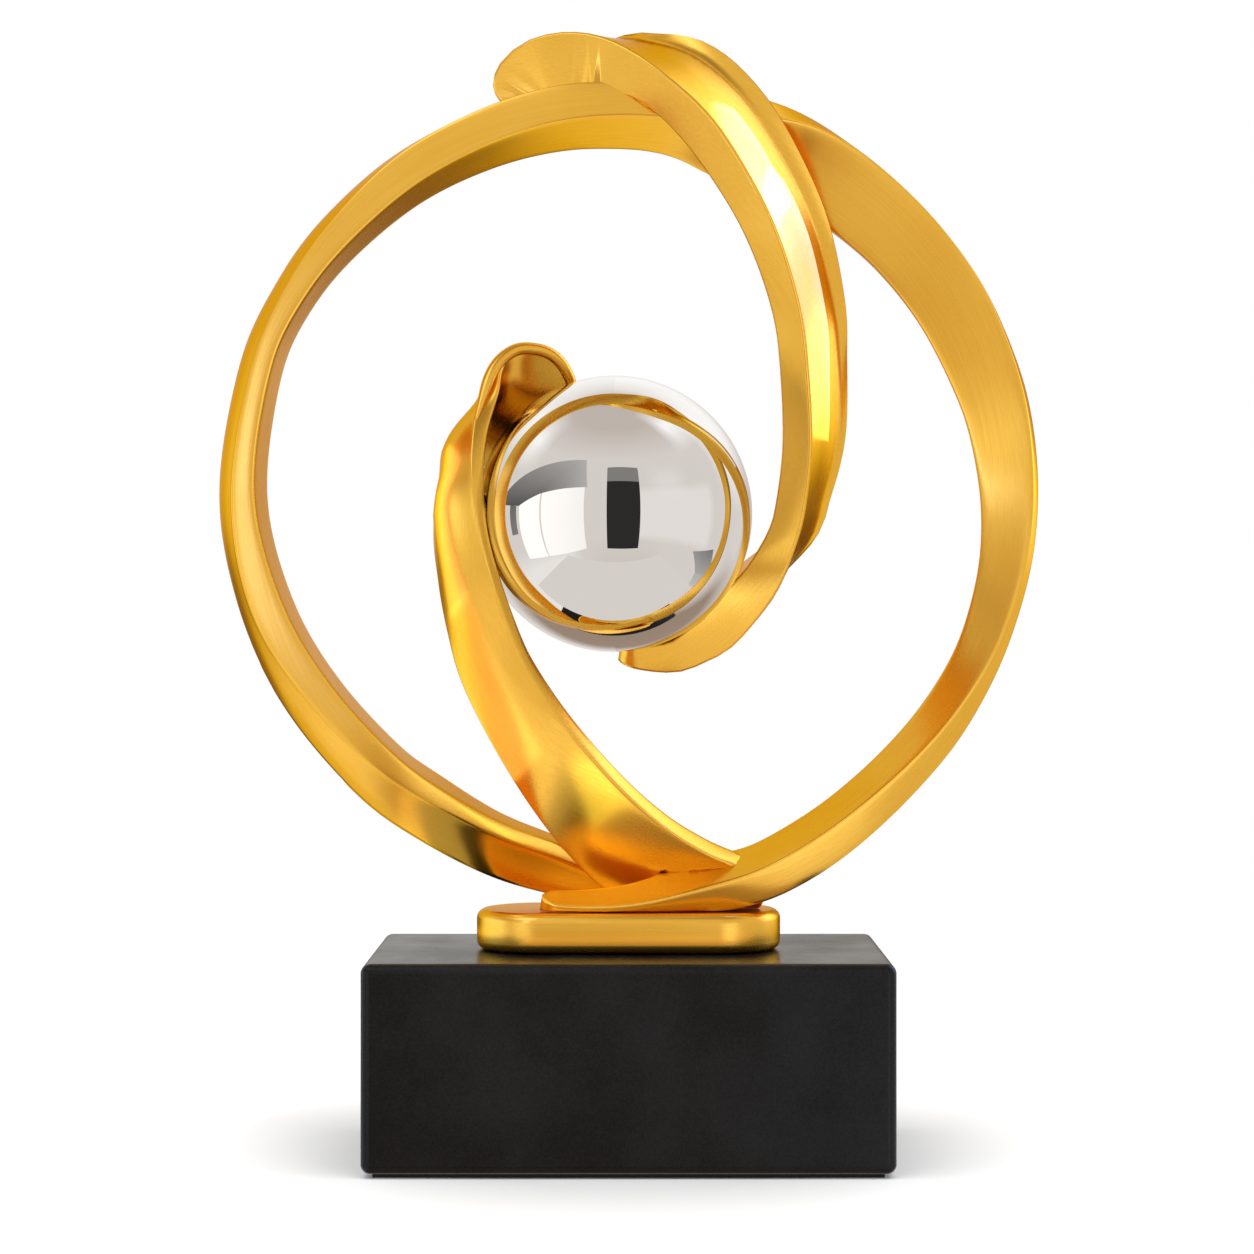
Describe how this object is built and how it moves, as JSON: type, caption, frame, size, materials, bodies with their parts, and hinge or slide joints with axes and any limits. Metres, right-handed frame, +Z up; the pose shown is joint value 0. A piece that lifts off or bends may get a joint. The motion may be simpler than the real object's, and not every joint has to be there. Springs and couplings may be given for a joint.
{
  "type": "orbital sculpture",
  "caption": "Free-standing desk sculpture: a twisted gold ring on a foot plate and a black block, with inner gold arms that hold a polished ball.",
  "frame": {"origin": "middle of the underside that the block rests on", "axes": "+X to the right as seen from the front, +Y to the back, +Z up; the front of the ring faces -Y"},
  "size_m": [0.2248, 0.0781, 0.3072],
  "materials": {
    "gold": "satin, brushed along the bands",
    "mirror": "mirror polished",
    "black": "satin black lacquer",
    "steel": "plain",
    "felt": "felt"
  },
  "bodies": {
    "root": {"base_felt": "felt", "base_block": "black", "foot_plate": "gold", "base_bolt_left": "steel", "base_washer_left": "steel", "base_bolt_right": "steel", "base_washer_right": "steel", "band_screw_right": "steel", "band_screw_left": "steel", "orbit_band": "gold", "rising_arm": "gold", "crossing_arm": "gold", "mirror_ball": "mirror", "arm_dowel": "steel", "crossing_pin": "steel", "ball_pin_upper": "steel", "ball_pin_lower": "steel"}
  },
  "joints": []
}
